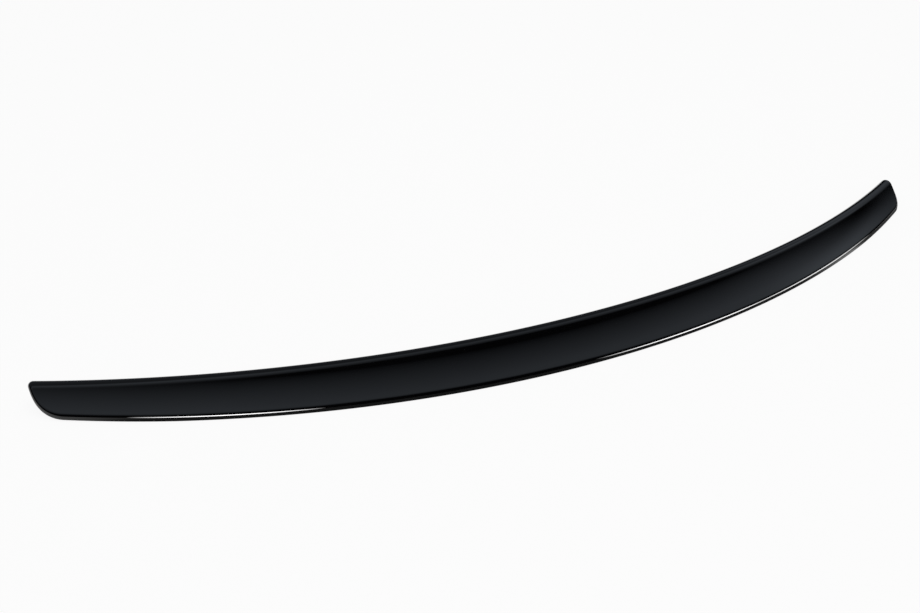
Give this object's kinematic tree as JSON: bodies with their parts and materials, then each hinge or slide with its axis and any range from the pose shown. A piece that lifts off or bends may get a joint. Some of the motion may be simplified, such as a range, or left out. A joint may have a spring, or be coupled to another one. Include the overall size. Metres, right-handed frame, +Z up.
{
  "type": "car rear lip spoiler",
  "caption": "Slim bowed lip spoiler in gloss-black plastic, with a rolled front edge, a concave face and a thin rounded trailing rim; a moulded shell bonded along the edge of a boot lid.",
  "frame": {"origin": "under the middle of the lip's box, on the surface that it stands on", "axes": "+X along the lip, +Y from the trailing rim towards the front edge, +Z up as the lip stands on its rear flange"},
  "size_m": [1.1028, 0.1873, 0.0329],
  "materials": {
    "gloss_black_shell": "high-gloss black, as moulded and polished"
  },
  "bodies": {
    "root": {"spoiler_lip": "gloss_black_shell"}
  },
  "joints": []
}
